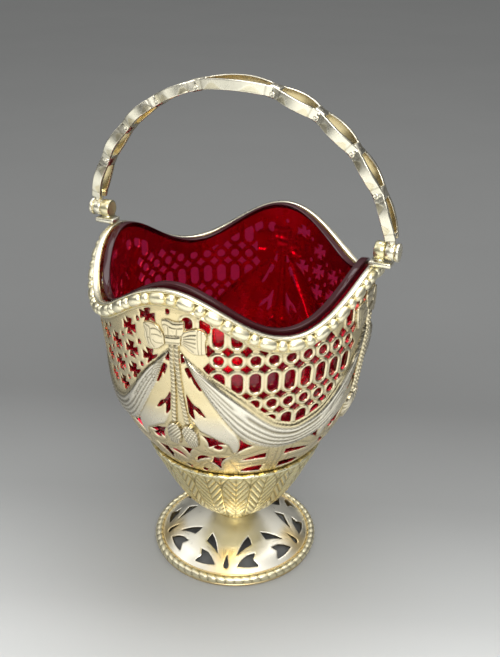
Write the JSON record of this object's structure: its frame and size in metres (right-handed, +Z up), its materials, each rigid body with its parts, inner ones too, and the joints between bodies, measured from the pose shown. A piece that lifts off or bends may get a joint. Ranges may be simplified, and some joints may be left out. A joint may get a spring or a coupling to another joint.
{
  "type": "sugar basket",
  "caption": "Pierced and chased silver-gilt basket on a round pierced foot, with a wavy beaded rim, an openwork swing handle and a lift-out ruby glass liner.",
  "frame": {"origin": "centre of the foot's underside", "axes": "+Z up along the basket's axis, X along the handle's hinge axis, -Y towards the front bow"},
  "size_m": [0.1118, 0.1, 0.1754],
  "materials": {
    "silver_gilt": "polished",
    "ruby_glass": "polished"
  },
  "bodies": {
    "basket": {"body_shell": "silver_gilt", "rim_strip": "silver_gilt", "bead_border": "silver_gilt", "leaf_calyx": "silver_gilt", "stem_collar": "silver_gilt", "foot_shell": "silver_gilt", "foot_rope_border": "silver_gilt", "hinge_plate_left": "silver_gilt", "hinge_plate_right": "silver_gilt", "fixed_knuckle_left": "silver_gilt", "fixed_knuckle_right": "silver_gilt"},
    "liner": {"glass_liner": "ruby_glass"},
    "handle": {"handle_strap": "silver_gilt", "handle_knuckle_left": "silver_gilt", "handle_knuckle_right": "silver_gilt", "pivot_pin_left": "silver_gilt", "pivot_pin_right": "silver_gilt"}
  },
  "joints": [
    {"name": "handle_swing", "type": "hinge", "parent": "basket", "child": "handle", "pos_m": [0, 0, 0.1264], "axis": [1, 0, 0], "range_deg": [-85, 85]},
    {"name": "liner_lift", "type": "slide", "parent": "basket", "child": "liner", "axis": [0, 0, 1], "range_m": [0, 0.018]}
  ]
}
